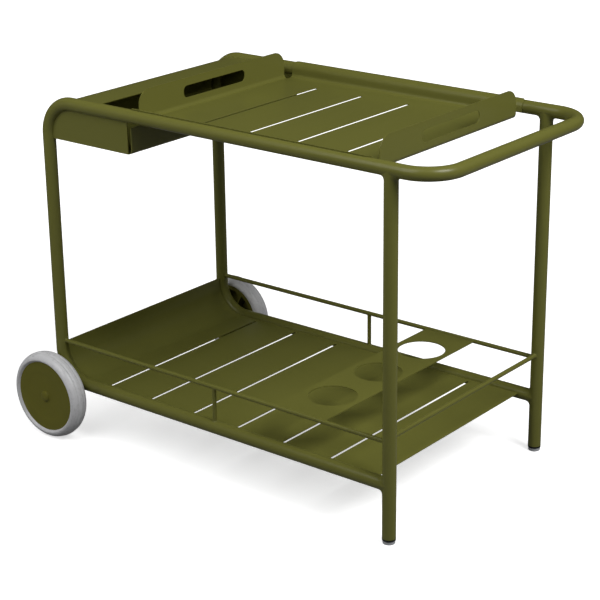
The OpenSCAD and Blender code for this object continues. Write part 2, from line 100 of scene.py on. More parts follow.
class Value:
    """A number socket of a shader graph that takes part in Python arithmetic."""

    def __init__(self, graph: "Graph", socket: bpy.types.NodeSocket) -> None:
        """Wraps one output socket of the graph."""
        self.graph = graph
        self.socket = socket

    def _math(self, operation: str, *terms: Any) -> "Value":
        """Adds a Math node.

        Args:
            operation: The Math node's operation.
            terms: Its inputs in order, as values or numbers.

        Returns:
            The node's result.
        """
        inputs = {i: term for i, term in enumerate(terms)}
        return self.graph.node("ShaderNodeMath", {"operation": operation}, inputs).out()

    def __add__(self, other: Any) -> "Value":
        """Sum of two values."""
        return self._math("ADD", self, other)

    def __radd__(self, other: Any) -> "Value":
        """Sum with a plain number on the left."""
        return self._math("ADD", other, self)

    def __sub__(self, other: Any) -> "Value":
        """Difference of two values."""
        return self._math("SUBTRACT", self, other)

    def __rsub__(self, other: Any) -> "Value":
        """Difference with a plain number on the left."""
        return self._math("SUBTRACT", other, self)

    def __mul__(self, other: Any) -> "Value":
        """Product of two values."""
        return self._math("MULTIPLY", self, other)

    def __rmul__(self, other: Any) -> "Value":
        """Product with a plain number on the left."""
        return self._math("MULTIPLY", other, self)

    def __truediv__(self, other: Any) -> "Value":
        """Quotient of two values."""
        return self._math("DIVIDE", self, other)

    def __pow__(self, other: Any) -> "Value":
        """Power of a value."""
        return self._math("POWER", self, other)

    def clamp(self) -> "Value":
        """The value held between zero and one."""
        return self.graph.node("ShaderNodeClamp", {}, {"Value": self}).out()


class Placed:
    """A node in a graph, with short ways to its outputs."""

    def __init__(self, graph: "Graph", node: bpy.types.Node) -> None:
        """Wraps one node of the graph."""
        self.graph = graph
        self.node = node

    def out(self, name: str | int = 0) -> Value:
        """One output of the node, by name or number."""
        return Value(self.graph, self.node.outputs[name])


class Graph:
    """The node tree of one material or of the world."""

    def __init__(self, tree: bpy.types.NodeTree) -> None:
        """Empties the tree and starts a new graph in it."""
        self.tree = tree
        tree.nodes.clear()

    def node(self, kind: str, settings: dict[str, Any], inputs: dict[Any, Any]) -> Placed:
        """Adds any node.

        Args:
            kind: The node's type name.
            settings: Properties to set first, such as a Math node's operation.
            inputs: Socket name or number to a value, a number or a tuple.

        Returns:
            The placed node.
        """
        node = self.tree.nodes.new(kind)
        for name, setting in settings.items():
            setattr(node, name, setting)
        for name, value in inputs.items():
            socket = node.inputs[name]
            if isinstance(value, Value):
                self.tree.links.new(value.socket, socket)
            else:
                socket.default_value = value
        return Placed(self, node)

    def place(self, origin: Sequence[float] = (0.0, 0.0, 0.0)) -> Value:
        """Object coordinates counted from a point of the piece."""
        where = self.node("ShaderNodeTexCoord", {}, {}).out("Object")
        return self.node("ShaderNodeVectorMath", {"operation": "SUBTRACT"},
                         {0: where, 1: tuple(origin)}).out()

    def noise(self, where: Value, grain: float, detail: float = 2.0, rough: float = 0.5) -> Value:
        """Noise from 0 to 1.

        Args:
            where: The coordinates, in metres.
            grain: The size of the noise's lumps, in metres.
            detail: Octaves of finer noise.
            rough: Strength of the finer noise.

        Returns:
            The noise value.
        """
        return self.node("ShaderNodeTexNoise", {}, {
            "Vector": where, "Scale": 1.0 / grain, "Detail": detail, "Roughness": rough}).out(0)

    def blend(self, factor: Value, low: Colour, high: Colour) -> Value:
        """A colour between two colours."""
        settings = {"data_type": "RGBA"}
        placed = self.node("ShaderNodeMix", settings, {0: factor, 6: (*low, 1.0), 7: (*high, 1.0)})
        return placed.out(2)

    def bump(self, height: Value, depth: float) -> Value:
        """A surface normal from a height that spans depth metres."""
        return self.node("ShaderNodeBump", {}, {"Height": height, "Distance": depth}).out()

    def surface(self, shader: Placed) -> None:
        """Makes a shader the surface of the material or world."""
        kind = "World" if "Background" in shader.node.bl_idname else "Material"
        self.node(f"ShaderNodeOutput{kind}", {}, {"Surface": shader.out()})

    def principled(self, inputs: dict[str, Any]) -> None:
        """Makes a Principled shader with these inputs the surface of the material."""
        self.surface(self.node("ShaderNodeBsdfPrincipled", {}, inputs))


def scaled(colour: Colour, share: float) -> Colour:
    """A colour made lighter or darker by a share."""
    return (colour[0] * share, colour[1] * share, colour[2] * share)


def drift(noise: Value, amount: float) -> Value:
    """What a noise adds to a value about its mean, from minus to plus half the amount."""
    return (noise - NOISE_MEAN) * amount


@dataclass(frozen=True)
class PowderCoat:
    """Baked powder paint: fine orange peel, faint clouding of colour and gloss.

    Attributes:
        name: The material's name.
        colour: Linear colour of the paint.
        roughness: Mean roughness.
        gloss: Level of the mirror reflection.
        peel: Size of an orange peel lump, in metres.
        peel_depth: Height of the orange peel, in metres.
        fine_peel: Share of the peel that is twice as fine.
        cloud: Share by which the colour drifts.
        cloud_size: Size of a cloud of colour, in metres.
        speck_size: Size of the powder's specks, in metres.
        speck_share: Share of the specks in the drift of the colour.
        cloud_rough: How much the clouds change the roughness.
        speck_rough: How much the specks change the roughness.
    """

    name: str
    colour: Colour
    roughness: float = 0.3
    gloss: float = 0.26
    peel: float = 1.6 * MM
    peel_depth: float = 0.03 * MM
    fine_peel: float = 0.3
    cloud: float = 0.025
    cloud_size: float = 70 * MM
    speck_size: float = 0.7 * MM
    speck_share: float = 0.25
    cloud_rough: float = 0.03
    speck_rough: float = 0.05

    def material(self) -> bpy.types.Material:
        """Builds the paint.

        Two noises make the peel, one twice as fine as the other. A slow noise drifts the
        colour and the gloss, and a fine one gives the powder's specks.

        Returns:
            The finished material.
        """
        material, graph = new_material(self.name)
        where = graph.place()
        slow = graph.noise(where, self.cloud_size, detail=3.0)
        speck = graph.noise(where, self.speck_size, detail=1.0)
        coarse = graph.noise(where, self.peel)
        fine = graph.noise(where, self.peel / 2, detail=1.0)
        shade = (slow * (1 - self.speck_share) + speck * self.speck_share).clamp()
        dark, light = scaled(self.colour, 1 - self.cloud), scaled(self.colour, 1 + self.cloud)
        rough = drift(slow, self.cloud_rough) + drift(speck, self.speck_rough)
        height = coarse * (1 - self.fine_peel) + fine * self.fine_peel
        graph.principled({
            "Base Color": graph.blend(shade, dark, light), "Roughness": rough + self.roughness,
            "Normal": graph.bump(height, self.peel_depth), "Specular IOR Level": self.gloss})
        return material


@dataclass(frozen=True)
class TyreRubber:
    """Pale grey rubber, a little dusty, with faint streaks round the tread. The streaks' light
    lines in its colour are painted highlight; the streaks also set some of its roughness and
    relief.

    Attributes:
        name: The material's name.
        hub: Centre of the wheel, in metres.
        colour: Linear colour of the rubber.
        roughness: Mean roughness.
        streak: Size of a streak in its own coordinates.
        streak_rate: Growth of those coordinates per metre across the tread.
        mottle: Size of the dusty blotches, in metres.
        pore: Size of the pores, in metres.
        mottle_share: Share of the blotches in the shade.
        shade_start: Noise level at which the rubber is darkest.
        shade_gain: Contrast of the shade above that level.
        dark: Share of the colour where it is darkest.
        light: Share of the colour where it is lightest.
        mottle_rough: How much the blotches change the roughness.
        streak_rough: How much the streaks change the roughness.
        relief: Height of the streaks and pores, in metres.
        pore_share: Share of the pores in that height.
    """

    name: str
    hub: tuple[float, float, float]
    colour: Colour = (0.56, 0.56, 0.57)
    roughness: float = 0.3
    streak: float = 0.4
    streak_rate: float = 90
    mottle: float = 9 * MM
    pore: float = 0.9 * MM
    mottle_share: float = 0.45
    shade_start: float = 0.22
    shade_gain: float = 1.7
    dark: float = 0.84
    light: float = 1.14
    mottle_rough: float = 0.25
    streak_rough: float = 0.15
    relief: float = 0.12 * MM
    pore_share: float = 0.4

    def material(self) -> bpy.types.Material:
        """Builds the rubber.

        The streaks are noise read at the direction from the axle, slowly, and at the place
        across the tread and the distance from the axle, fast. Lightening the colour along them
        paints highlight lines round the tread.

        Returns:
            The finished material.
        """
        material, graph = new_material(self.name)
        where = graph.place(self.hub)
        axes = graph.node("ShaderNodeSeparateXYZ", {}, {0: where})
        x, y, z = axes.out(0), axes.out(1), axes.out(2)
        reach = (x * x + z * z) ** 0.5
        streak_place = graph.node("ShaderNodeCombineXYZ", {}, {
            0: x / reach, 1: z / reach, 2: (y + reach) * self.streak_rate}).out()
        streak = graph.noise(streak_place, self.streak, detail=3.0, rough=0.6)
        mottle = graph.noise(where, self.mottle, detail=4.0, rough=0.6)
        pore = graph.noise(where, self.pore)
        # The colour mixes the streaks, whose light lines are painted highlight, with the dusty
        # blotches.
        mixed = streak * (1 - self.mottle_share) + mottle * self.mottle_share
        shade = ((mixed - self.shade_start) * self.shade_gain).clamp()
        dark, light = scaled(self.colour, self.dark), scaled(self.colour, self.light)
        rough = drift(mottle, self.mottle_rough) + drift(streak, self.streak_rough)
        height = streak * (1 - self.pore_share) + pore * self.pore_share
        graph.principled({
            "Base Color": graph.blend(shade, dark, light),
            "Roughness": (rough + self.roughness).clamp(),
            "Normal": graph.bump(height, self.relief)})
        return material


@dataclass(frozen=True)
class MouldedPlastic:
    """Injection-moulded plastic with a fine spark-eroded grain.

    Attributes:
        name: The material's name.
        colour: Linear colour of the plastic.
        roughness: Mean roughness.
        gloss: Level of the mirror reflection.
        grain: Size of the grain, in metres.
        grain_depth: Height of the grain, in metres.
        grain_rough: How much the grain changes the roughness.
        flow: Size of a flow mark, in metres.
        tint: Share by which the flow marks change the colour.
        flow_rough: How much the flow marks change the roughness.
        glow: Share of light that passes through the surface and scatters.
        glow_depth: How far that light gets, in metres.
    """

    name: str
    colour: Colour
    roughness: float = 0.5
    gloss: float = 0.2
    grain: float = 0.5 * MM
    grain_depth: float = 0.02 * MM
    grain_rough: float = 0.08
    flow: float = 35 * MM
    tint: float = 0.06
    flow_rough: float = 0.12
    glow: float = 0.0
    glow_depth: float = 4 * MM

    def material(self) -> bpy.types.Material:
        """Builds the plastic: a grain bump, and slow flow marks in colour and gloss."""
        material, graph = new_material(self.name)
        where = graph.place()
        flow = graph.noise(where, self.flow, detail=3.0)
        grain = graph.noise(where, self.grain)
        dark, light = scaled(self.colour, 1 - self.tint), scaled(self.colour, 1 + self.tint)
        rough = drift(flow, self.flow_rough) + drift(grain, self.grain_rough)
        graph.principled({
            "Base Color": graph.blend(flow, dark, light),
            "Roughness": (rough + self.roughness).clamp(),
            "Normal": graph.bump(grain, self.grain_depth), "Specular IOR Level": self.gloss,
            "Subsurface Weight": self.glow, "Subsurface Radius": (self.glow_depth,) * 3})
        return material


@dataclass(frozen=True)
class TurnedSteel:
    """Plain steel bar with lathe marks across its length, along Y.

    Attributes:
        name: The material's name.
        colour: Linear colour of the steel.
        roughness: Mean roughness.
        ring: Width of a lathe mark, in metres.
        ring_run: Speed of the rings' noise round the bar, set against its speed along it.
        ring_depth: Depth of a lathe mark, in metres.
        ring_rough: How much the lathe marks change the roughness.
        tarnish: Size of a patch of tarnish, in metres.
        tarnish_rough: How much the tarnish changes the roughness.
        dark: Share of the colour where the tarnish is darkest.
        light: Share of the colour where it is lightest.
    """

    name: str
    colour: Colour = (0.52, 0.52, 0.53)
    roughness: float = 0.36
    ring: float = 0.4 * MM
    ring_run: float = 0.02
    ring_depth: float = 0.01 * MM
    ring_rough: float = 0.2
    tarnish: float = 20 * MM
    tarnish_rough: float = 0.15
    dark: float = 0.85
    light: float = 1.08

    def material(self) -> bpy.types.Material:
        """Builds the steel: fine rings from noise stretched round the bar, and slow tarnish."""
        material, graph = new_material(self.name)
        where = graph.place()
        stretched = graph.node("ShaderNodeMapping", {}, {
            "Vector": where, "Scale": (self.ring_run, 1.0, self.ring_run)}).out()
        ring = graph.noise(stretched, self.ring)
        tarnish = graph.noise(where, self.tarnish, detail=4.0)
        dark, light = scaled(self.colour, self.dark), scaled(self.colour, self.light)
        rough = drift(ring, self.ring_rough) + drift(tarnish, self.tarnish_rough)
        graph.principled({
            "Base Color": graph.blend(tarnish, dark, light), "Metallic": 1.0,
            "Roughness": (rough + self.roughness).clamp(),
            "Normal": graph.bump(ring, self.ring_depth)})
        return material


def new_material(name: str) -> tuple[bpy.types.Material, Graph]:
    """Makes an empty material.

    Args:
        name: The material's name.

    Returns:
        The material and the graph of its nodes.
    """
    material = bpy.data.materials.new(name)
    material.use_nodes = True
    return material, Graph(material.node_tree)


OLIVE: Colour = (0.124, 0.124, 0.026)
OLIVE_MOULDED: Colour = (0.126, 0.119, 0.016)
PAD_GREY: Colour = (0.42, 0.43, 0.45)
SOOT: Colour = (0.012, 0.012, 0.012)


# Meshes from arrays


def grid_faces(rows: int, columns: int, wrap_rows: bool, wrap_columns: bool) -> np.ndarray:
    """Quads over a grid of points.

    Args:
        rows: Number of grid rows.
        columns: Number of points in a row.
        wrap_rows: Whether the last row joins the first.
        wrap_columns: Whether each row's last point joins its first.

    Returns:
        An array of four point numbers a quad. A quad runs along its row first.
    """
    last_row = rows if wrap_rows else rows - 1
    last_column = columns if wrap_columns else columns - 1
    row, column = np.meshgrid(np.arange(last_row), np.arange(last_column), indexing="ij")
    row, column = row.ravel(), column.ravel()
    next_row, next_column = (row + 1) % rows, (column + 1) % columns
    return np.stack([row * columns + column, row * columns + next_column,
                     next_row * columns + next_column, next_row * columns + column], axis=1)


def add_piece(name: str, points: np.ndarray, faces: np.ndarray) -> bpy.types.Object:
    """Makes an object from arrays of points and quads.

    Six times the volume of a closed shape is the sum over its triangles of the first corner's
    dot product with the cross product of the others. Where that is negative, the quads are
    turned round, so that they point outwards. Points that fall together are merged.

    Args:
        name: The piece's name.
        points: Points in metres, three numbers each.
        faces: Four point numbers a face.

    Returns:
        The object, at the origin.
    """
    flat = points.reshape(-1, 3)
    a, b, c, d = (flat[faces[:, i]] for i in range(4))
    volume = np.sum(a * np.cross(b, c)) + np.sum(a * np.cross(c, d))
    faces = faces[:, ::-1] if volume < 0 else faces
    mesh = bpy.data.meshes.new(name)
    mesh.vertices.add(len(flat))
    mesh.vertices.foreach_set("co", flat.astype(np.float32).ravel())
    mesh.loops.add(faces.size)
    mesh.loops.foreach_set("vertex_index", faces.astype(np.int32).ravel())
    mesh.polygons.add(len(faces))
    mesh.polygons.foreach_set("loop_start", np.arange(0, faces.size, 4, dtype=np.int32))
    mesh.update(calc_edges=True)
    merged = bmesh.new()
    merged.from_mesh(mesh)
    bmesh.ops.remove_doubles(merged, verts=merged.verts, dist=PIECE_MERGE)
    merged.to_mesh(mesh)
    merged.free()
    piece = bpy.data.objects.new(name, mesh)
    bpy.context.scene.collection.objects.link(piece)
    return piece


def rounded(corners: Sequence[tuple[float, float, float]], steps: int = 6) -> np.ndarray:
    """An outline with some corners rounded.

    A round corner's arc touches both sides at the radius over the tangent of half the corner's
    angle. The arc is drawn as the circle about the point where the sides' inner normals meet.

    Args:
        corners: Two coordinates and a radius for each corner, along the closed outline.
        steps: Number of points on an arc.

    Returns:
        The outline's points, two numbers each.
    """
    spots = np.array([corner[:2] for corner in corners], float)
    out = []
    for i, (*_, radius) in enumerate(corners):
        here = spots[i]
        back, ahead = spots[i - 1] - here, spots[(i + 1) % len(spots)] - here
        if radius <= 0:
            out.append(here[None])
            continue
        back, ahead = back / np.linalg.norm(back), ahead / np.linalg.norm(ahead)
        half = math.acos(float(np.clip(back @ ahead, -1, 1))) / 2
        inwards = (back + ahead) / np.linalg.norm(back + ahead)
        centre = here + inwards * radius / math.sin(half)
        share = np.linspace(-1, 1, steps)[:, None] * (math.pi / 2 - half)
        sideways = (ahead - back) / np.linalg.norm(ahead - back)
        out.append(centre + radius * (sideways * np.sin(share) - inwards * np.cos(share)))
    return np.concatenate(out)


def turned(name: str, outline: np.ndarray, centre: Sequence[float], axis: Direction,
           steps: int, open_ends: bool = False) -> bpy.types.Object:
    """Turns an outline round an axis.

    A point at radius r and height h stands at angle a at the centre plus h along the axis,
    r cos a along a first and r sin a along a second direction square to the axis.

    Args:
        name: The piece's name.
        outline: Radius and height of each point, in metres.
        centre: The point of the axis at height 0.
        axis: The axis, as a unit vector square to X.
        steps: Number of points round the axis.
        open_ends: Whether the outline starts and ends on the axis, so that it isn't closed.

    Returns:
        The object.
    """
    axis = np.array(axis, float)
    first = np.array(FORWARDS)
    second = np.cross(axis, first)
    angle = np.linspace(0, 2 * math.pi, steps, endpoint=False)[:, None, None]
    radius, height = outline[None, :, :1], outline[None, :, 1:]
    points = (np.array(centre) + height * axis + radius * np.cos(angle) * first
              + radius * np.sin(angle) * second)
    return add_piece(name, points, grid_faces(steps, len(outline), True, not open_ends))


def soft_shading(sharp_angle: float = 33.0) -> bpy.types.NodeTree:
    """A modifier group that joins loose triangles and shades curved faces smooth.

    Args:
        sharp_angle: Edges that turn by more than this stay sharp, in degrees.

    Returns:
        The geometry node group.
    """
    group = bpy.data.node_groups.new("soft_shading", "GeometryNodeTree")
    group.interface.new_socket("Geometry", in_out="INPUT", socket_type="NodeSocketGeometry")
    group.interface.new_socket("Geometry", in_out="OUTPUT", socket_type="NodeSocketGeometry")
    graph = Graph(group)
    shape = graph.node("NodeGroupInput", {}, {}).out()
    joined = graph.node("GeometryNodeMergeByDistance", {}, {
        "Geometry": shape, "Distance": NODE_MERGE}).out()
    smooth = graph.node("GeometryNodeSetShadeSmooth", {"domain": "FACE"}, {
        "Geometry": joined, "Shade Smooth": True}).out()
    turn = graph.node("GeometryNodeInputMeshEdgeAngle", {}, {}).out()
    compare = {"data_type": "FLOAT", "operation": "GREATER_THAN"}
    sharp = graph.node("FunctionNodeCompare", compare, {
        0: turn, 1: math.radians(sharp_angle)}).out()
    edged = graph.node("GeometryNodeSetShadeSmooth", {"domain": "EDGE"}, {
        "Geometry": smooth, "Selection": sharp, "Shade Smooth": False}).out()
    graph.node("NodeGroupOutput", {}, {0: edged})
    return group


def soften(piece: bpy.types.Object, group: bpy.types.NodeTree) -> None:
    """Puts the shading group on a piece or a node."""
    piece.modifiers.new("soft_shading", "NODES").node_group = group


def coat(piece: bpy.types.Object, material: bpy.types.Material) -> None:
    """Gives a piece or a node one material."""
    piece.data.materials.clear()
    piece.data.materials.append(material)


# Camera and light


@dataclass(frozen=True)
class SoftLamp:
    """A square soft lamp that faces the cart.

    Attributes:
        name: The lamp's name.
        azimuth: Turn of the lamp about the cart from +X towards +Y, in degrees.
        elevation: Its height above the level, in degrees.
        power: Its power in watts.
        reach: Its distance from the cart's middle, in metres.
        mirrored: Whether glossy surfaces mirror it. A low lamp would whiten flat sheets that
            are seen edge on.
    """

    name: str
    azimuth: float
    elevation: float
    power: float
    reach: float = 3.5
    mirrored: bool = False


LAMPS = (
    SoftLamp("front_high", -6, 47, 84, mirrored=True),
    SoftLamp("front_low", -6, 27, 12),
    SoftLamp("left_high", -96, 48, 19, reach=2.0, mirrored=True),
    SoftLamp("rear_left", -141, 12, 24),
    SoftLamp("rear", 174, 24, 22),
    SoftLamp("right_low", 90, 12, 18),
    SoftLamp("front_right", 39, 36, 14),
)


def away_from_cart(azimuth: float, elevation: float) -> np.ndarray:
    """The unit vector cos a cos e, sin a cos e, sin e for angles a and e in radians."""
    level = math.cos(elevation)
    return np.array([math.cos(azimuth) * level, math.sin(azimuth) * level, math.sin(elevation)])


def set_up(thing: bpy.types.Object, axes: Sequence[np.ndarray], place: Sequence[float]) -> None:
    """Puts a camera or a lamp in the scene.

    Args:
        thing: The camera or lamp. Both look along their -Z.
        axes: The directions of its X, Y and Z, as unit vectors.
        place: Where it stands, in metres.
    """
    matrix = Matrix.Identity(4)
    for row in range(3):
        matrix[row] = (*(axis[row] for axis in axes), place[row])
    thing.matrix_world = matrix
    bpy.context.scene.collection.objects.link(thing)


@dataclass
class Studio:
    """Camera, lamps, floor and sky.

    Attributes:
        eye: The camera's place, in metres.
        azimuth: Turn of the view from looking along +Y, in degrees.
        elevation: Height of the camera above the level view, in degrees.
        roll: Turn of the picture, in degrees.
        lens: Focal length, in millimetres.
        sensor: Width of the camera's sensor, in millimetres.
        sky: Strength of the white sky on the object.
        lamp_side: Side length of a lamp, in metres.
        cart_middle: Height of the cart's middle, in metres.
        floor_half: Half the floor's side, in metres.
        floor_points: Points along a side of the floor.
        floor_bounce: Share of light that the floor throws back on the object.
        floor_seen: Share of light that it throws back to the camera.
        floor_lift: Light that it adds for the camera near the cart, so that it shows white.
        far_lift: Further light for the camera far from the cart, where the lamps don't reach.
        far_start: Distance from the cart's middle at which that light starts, in metres.
        far_rate: Its growth from there, as a share per metre.
    """

    eye: tuple[float, float, float] = (1.9869, -2.4459, 1.4622)
    azimuth: float = 39.019
    elevation: float = 20.342
    roll: float = -0.73
    lens: float = 104.89
    sensor: float = 36
    sky: float = 0.02
    lamp_side: float = 1.4
    cart_middle: float = 0.35
    floor_half: float = 6
    floor_points: int = 13
    floor_bounce: float = 0.22
    floor_seen: float = 0.9
    floor_lift: float = 0.62
    far_lift: float = 0.5
    far_start: float = 0.8
    far_rate: float = 0.4

    def camera(self) -> None:
        """Places the camera from its azimuth, elevation and roll."""
        a, e, r = (math.radians(v) for v in (self.azimuth, self.elevation, self.roll))
        back = away_from_cart(a - math.pi / 2, e)
        right = np.array([math.cos(a), math.sin(a), 0.0])
        up = np.cross(back, right)
        turned_right = math.cos(r) * right + math.sin(r) * up
        turned_up = math.cos(r) * up - math.sin(r) * right
        data = bpy.data.cameras.new("camera")
        data.lens, data.sensor_width = self.lens, self.sensor
        camera = bpy.data.objects.new("camera", data)
        set_up(camera, (turned_right, turned_up, back), self.eye)
        bpy.context.scene.camera = camera

    def lamp(self, lamp: SoftLamp) -> None:
        """Hangs a lamp so that it faces the cart's middle."""
        a = math.radians(lamp.azimuth)
        away = away_from_cart(a, math.radians(lamp.elevation))
        side = np.array([-math.sin(a), math.cos(a), 0.0])
        data = bpy.data.lights.new(lamp.name, "AREA")
        data.shape, data.size, data.energy = "SQUARE", self.lamp_side, lamp.power
        light = bpy.data.objects.new(lamp.name, data)
        light.visible_glossy = lamp.mirrored
        place = away * lamp.reach + (0.0, 0.0, self.cart_middle)
        set_up(light, (side, np.cross(away, side), away), place)

    def world(self) -> None:
        """Gives a plain sky that is white to the camera and dimmer on the object.

        Glossy rays see the dim sky too. A white one would lie on the flat sheets as glare.
        """
        world = bpy.data.worlds.new("sky")
        world.use_nodes = True
        bpy.context.scene.world = world
        graph = Graph(world.node_tree)
        path = graph.node("ShaderNodeLightPath", {}, {})
        seen = (path.out("Is Camera Ray") + path.out("Is Transmission Ray")).clamp()
        strength = seen * (1.0 - self.sky) + self.sky
        graph.surface(graph.node("ShaderNodeBackground", {}, {
            "Color": WHITE, "Strength": strength}))

    def floor(self) -> None:
        """Lays a pale floor that keeps the shadow, and stays white far from the cart."""
        count = self.floor_points
        level = np.linspace(-self.floor_half, self.floor_half, count)
        x, y = np.meshgrid(level, level, indexing="ij")
        points = np.stack([x, y, np.zeros_like(x)], axis=-1)
        floor = add_piece("floor", points, grid_faces(count, count, False, False)[:, ::-1])
        material, graph = new_material("floor_white")
        seen = graph.node("ShaderNodeLightPath", {}, {}).out("Is Camera Ray")
        colour = graph.blend(seen, (self.floor_bounce,) * 3, (self.floor_seen,) * 3)
        matt = graph.node("ShaderNodeBsdfDiffuse", {}, {"Color": colour})
        axes = graph.node("ShaderNodeSeparateXYZ", {}, {0: graph.place()})
        x, y = axes.out(0), axes.out(1)
        far = (((x * x + y * y) ** 0.5 - self.far_start) * self.far_rate).clamp()
        lift = graph.node("ShaderNodeEmission", {}, {
            "Color": WHITE, "Strength": seen * (far * self.far_lift + self.floor_lift)})
        graph.surface(graph.node("ShaderNodeAddShader", {}, {0: matt.out(), 1: lift.out()}))
        coat(floor, material)

    def build(self) -> None:
        """Sets up the whole studio."""
        self.camera()
        self.world()
        self.floor()
        for lamp in LAMPS:
            self.lamp(lamp)
        bpy.context.scene.view_settings.view_transform = "Standard"


# The cart


def middle(node: str) -> np.ndarray:
    """The middle of a node's box."""
    low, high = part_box(node)
    return (np.array(low) + np.array(high)) / 2


def extent(node: str) -> np.ndarray:
    """The size of a node's box."""
    low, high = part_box(node)
    return np.array(high) - np.array(low)


@dataclass(frozen=True)
class Shop:
    """Everything that the sub-assemblies share when they are dressed.

    Attributes:
        paint: The olive powder coat.
        moulded: The olive plastic of the hubs and caps.
        pad: The pale plastic of the foot pads.
        black: The black plastic of the plugs and bushes.
        steel: The steel of the axle and its rings.
        shading: The soft shading group.
    """

    paint: bpy.types.Material
    moulded: bpy.types.Material
    pad: bpy.types.Material
    black: bpy.types.Material
    steel: bpy.types.Material
    shading: bpy.types.NodeTree

    def finish(self, piece: bpy.types.Object, material: bpy.types.Material, slot: str,
               body: Body, *stands_for: str) -> None:
        """Dresses a new piece and places it on its body.

        Args:
            piece: The new piece.
            material: Its finish.
            slot: The record's material slot of that finish. Not used.
            body: The body that carries the piece.
            stands_for: The nodes that the piece replaces.
        """
        coat(piece, material)
        soften(piece, self.shading)
        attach(piece, body.value)
        if stands_for:
            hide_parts(*stands_for)
        log.info("piece %s on %s: %d faces", piece.name, body.value, len(piece.data.polygons))


def crossing(standing: str, lying: str) -> np.ndarray:
    """The point of a standing tube's axis at the height of a lying one."""
    x, y, _ = middle(standing)
    return np.array([x, y, middle(lying)[2]])


@dataclass(frozen=True)
class Joint:
    """Where a small tube or rod ends on a large one.

    Attributes:
        centre: The point of the large tube's axis at the joint.
        away: Direction of the small tube, leaving the joint.
        along: Direction of the large tube's axis.
        small: Radius of the small tube.
        large: Radius of the large tube.
        reach: How far the fillet runs up both tubes.
    """

    centre: np.ndarray
    away: Direction
    along: Direction
    small: float
    large: float
    reach: float


@dataclass
class Welds:
    """Fillets where a tube or rod is welded to a larger or equal tube.

    Attributes:
        shop: What the sub-assemblies share.
        tube_reach: How far a fillet between two frame tubes runs up the tubes.
        rod_reach: The same for the guard rods.
        post_reach: The same for the guard posts.
        steps: Points round a fillet.
        curve_steps: Points across a fillet.
        root: Depth of the fillet's hidden back below the seam.
    """

    shop: Shop
    tube_reach: float = 9.5 * MM
    rod_reach: float = 2.6 * MM
    post_reach: float = 2.2 * MM
    steps: int = 96
    curve_steps: int = 9
    root: float = 0.8 * MM

    def skirt(self, joint: Joint) -> np.ndarray:
        """The closed ring of a fillet.

        At angle a round the small tube, the seam lies where its surface meets the large tube:
        small cos a along the large axis, small sin a beside it, and the root of large squared
        less the square of small sin a away from it. The fillet starts on the small tube, reach
        beyond the seam, and ends on the large tube, reach cos a further along its axis and
        reach sin a further round it. Between the two runs a quadratic curve with the seam as
        its middle handle, and a line of points under the seam closes the ring.

        Args:
            joint: The joint that is welded.

        Returns:
            The points, round the small tube and then across the fillet.
        """
        small, large, reach = joint.small, joint.large, joint.reach
        up, side = np.array(joint.away), np.array(joint.along)
        beside = np.cross(up, side)
        turn = np.linspace(0, 2 * math.pi, self.steps, endpoint=False)[:, None, None]
        share = np.linspace(0, 1, self.curve_steps)[None, :, None]
        run, width = small * np.cos(turn), small * np.sin(turn)
        rise = np.sqrt(large ** 2 - width ** 2)
        seam = run * side + width * beside + rise * up
        top = seam + reach * up
        lean = np.arcsin(np.clip(width / large, -1, 1)) + reach / large * np.sin(turn)
        foot = ((run + reach * np.cos(turn)) * side + large * np.sin(lean) * beside
                + large * np.cos(lean) * up)
        curve = (1 - share) ** 2 * top + 2 * share * (1 - share) * seam + share ** 2 * foot
        inner = 1 - self.root / small
        back = run * inner * side + width * inner * beside + (rise - self.root) * up
        return joint.centre + np.concatenate([curve, back], axis=1)

    def joints(self, side: Side) -> dict[str, Joint]:
        """The welded joints of one side, by the name of their fillets."""
        label = side.label
        leg, upright, post = f"front_leg_{label}", f"rear_upright_{label}", f"guard_post_{label}"
        rail, top_rail, rod = f"lower_rail_{label}", f"top_rail_{label}", f"guard_rod_{label}"
        tube_r = extent("handle_bar")[0] / 2
        rod_r, post_r = extent(rod)[2] / 2, extent(post)[0] / 2
        tubes, rods = (tube_r, tube_r, self.tube_reach), (rod_r, tube_r, self.rod_reach)
        reach = self.post_reach
        inwards = (0.0, -float(side.value), 0.0)
        return {
            "leg_top": Joint(crossing(leg, top_rail), DOWN, FORWARDS, *tubes),
            "rail_front": Joint(crossing(leg, rail), BACKWARDS, UP, *tubes),
            "rod_front": Joint(crossing(leg, rod), BACKWARDS, UP, *rods),
            "rod_rear": Joint(crossing(upright, rod), FORWARDS, UP, *rods),
            "front_rod": Joint(crossing(leg, "guard_rod_front"), inwards, UP, *rods),
            "post_foot": Joint(crossing(post, rail), UP, FORWARDS, post_r, tube_r, reach),
            "post_top": Joint(crossing(post, rod), DOWN, FORWARDS, post_r, rod_r, reach),
        }

    def build(self) -> None:
        """Adds the fillets of both sides."""
        for side in Side:
            for name, joint in self.joints(side).items():
                points = self.skirt(joint)
                faces = grid_faces(*points.shape[:2], True, True)
                piece = add_piece(f"weld_{name}_{side.label}", points, faces)
                self.shop.finish(piece, self.shop.paint, "frame_paint", Body.FRAME)


